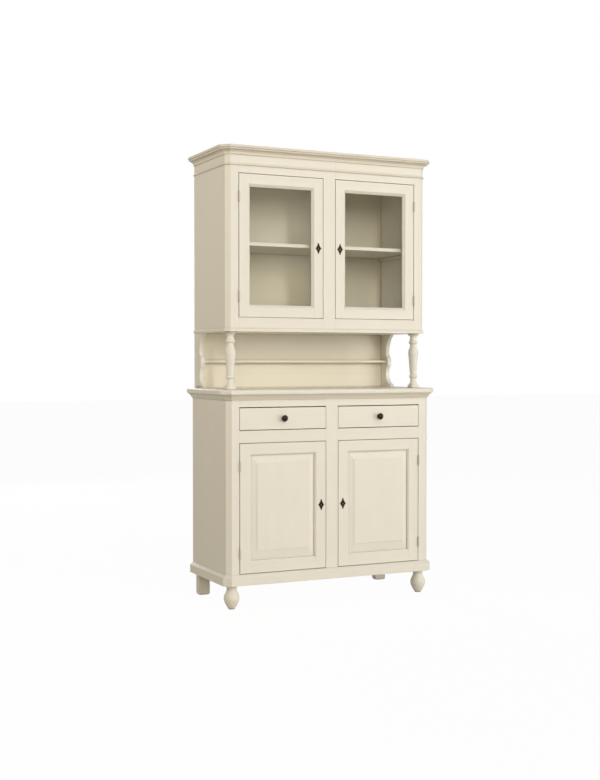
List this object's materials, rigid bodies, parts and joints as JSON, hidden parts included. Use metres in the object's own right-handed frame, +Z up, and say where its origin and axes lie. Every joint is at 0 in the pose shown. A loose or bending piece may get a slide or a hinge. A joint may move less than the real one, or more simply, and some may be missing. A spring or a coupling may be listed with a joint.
{
  "type": "dresser with hutch",
  "caption": "Painted dresser with a glazed hutch on turned balusters over a cabinet of drawers and panelled doors, for storing and showing crockery.",
  "frame": {"origin": "on the floor, below the middle of the bounding box, which the worktop sets", "axes": "+Z up, +X to the right seen from the front, and the doors and drawers face -Y"},
  "size_m": [1.14, 0.482, 2.147],
  "materials": {
    "cream_paint": "satin cream paint",
    "natural_wood": "plain pale wood",
    "glass": "clear polished",
    "dark_bronze": "dark bronzed, semi-gloss",
    "steel": "plain steel",
    "painted_steel": "cream paint over steel, worn"
  },
  "bodies": {
    "carcass": {"base_sides": "cream_paint", "base_uprights": "cream_paint", "base_rails": "cream_paint", "base_back": "cream_paint", "cupboard_floor": "cream_paint", "cupboard_shelf": "cream_paint", "shelf_cleats": "cream_paint", "drawer_runners": "natural_wood", "corner_blocks": "natural_wood", "plinth": "cream_paint", "worktop": "cream_paint", "worktop_moulding": "cream_paint", "front_feet": "cream_paint", "rear_feet": "cream_paint", "case_sides": "cream_paint", "case_uprights": "cream_paint", "case_rails": "cream_paint", "case_base_board": "cream_paint", "case_floor": "cream_paint", "case_top": "cream_paint", "case_back": "cream_paint", "case_shelf": "cream_paint", "cornice": "cream_paint", "astragal": "cream_paint", "niche_back": "cream_paint", "niche_shelf": "cream_paint", "side_brackets": "cream_paint", "balusters": "cream_paint", "frame_hinges": "painted_steel"},
    "upper_left_door": {"upper_left_door_frame": "cream_paint", "upper_left_door_glass": "glass", "upper_left_door_escutcheon": "dark_bronze", "upper_left_door_lock": "steel", "upper_left_door_hinges": "painted_steel"},
    "upper_left_door_bolt": {"upper_left_door_bolt": "steel"},
    "lower_left_door": {"lower_left_door_frame": "cream_paint", "lower_left_door_panel": "cream_paint", "lower_left_door_escutcheon": "dark_bronze", "lower_left_door_lock": "steel", "lower_left_door_hinges": "painted_steel"},
    "lower_left_door_bolt": {"lower_left_door_bolt": "steel"},
    "left_drawer": {"left_drawer_front": "cream_paint", "left_drawer_box": "natural_wood", "left_drawer_knob": "dark_bronze"},
    "upper_right_door": {"upper_right_door_frame": "cream_paint", "upper_right_door_glass": "glass", "upper_right_door_escutcheon": "dark_bronze", "upper_right_door_lock": "steel", "upper_right_door_hinges": "painted_steel"},
    "upper_right_door_bolt": {"upper_right_door_bolt": "steel"},
    "lower_right_door": {"lower_right_door_frame": "cream_paint", "lower_right_door_panel": "cream_paint", "lower_right_door_escutcheon": "dark_bronze", "lower_right_door_lock": "steel", "lower_right_door_hinges": "painted_steel"},
    "lower_right_door_bolt": {"lower_right_door_bolt": "steel"},
    "right_drawer": {"right_drawer_front": "cream_paint", "right_drawer_box": "natural_wood", "right_drawer_knob": "dark_bronze"}
  },
  "joints": [
    {"name": "upper_left_door_hinge", "type": "hinge", "parent": "carcass", "child": "upper_left_door", "pos_m": [-0.468, -0.1839, 1.6895], "axis": [0, 0, -1], "range_deg": [0, 170]},
    {"name": "upper_left_door_bolt_throw", "type": "slide", "parent": "upper_left_door", "child": "upper_left_door_bolt", "axis": [1, 0, 0], "range_m": [0, 0.008]},
    {"name": "lower_left_door_hinge", "type": "hinge", "parent": "carcass", "child": "lower_left_door", "pos_m": [-0.478, -0.2149, 0.4685], "axis": [0, 0, -1], "range_deg": [0, 170]},
    {"name": "lower_left_door_bolt_throw", "type": "slide", "parent": "lower_left_door", "child": "lower_left_door_bolt", "axis": [1, 0, 0], "range_m": [0, 0.008]},
    {"name": "left_drawer_slide", "type": "slide", "parent": "carcass", "child": "left_drawer", "axis": [0, -1, 0], "range_m": [0, 0.3]},
    {"name": "upper_right_door_hinge", "type": "hinge", "parent": "carcass", "child": "upper_right_door", "pos_m": [0.468, -0.1839, 1.6895], "axis": [0, 0, 1], "range_deg": [0, 170]},
    {"name": "upper_right_door_bolt_throw", "type": "slide", "parent": "upper_right_door", "child": "upper_right_door_bolt", "axis": [-1, 0, 0], "range_m": [0, 0.008]},
    {"name": "lower_right_door_hinge", "type": "hinge", "parent": "carcass", "child": "lower_right_door", "pos_m": [0.478, -0.2149, 0.4685], "axis": [0, 0, 1], "range_deg": [0, 170]},
    {"name": "lower_right_door_bolt_throw", "type": "slide", "parent": "lower_right_door", "child": "lower_right_door_bolt", "axis": [-1, 0, 0], "range_m": [0, 0.008]},
    {"name": "right_drawer_slide", "type": "slide", "parent": "carcass", "child": "right_drawer", "axis": [0, -1, 0], "range_m": [0, 0.3]}
  ]
}
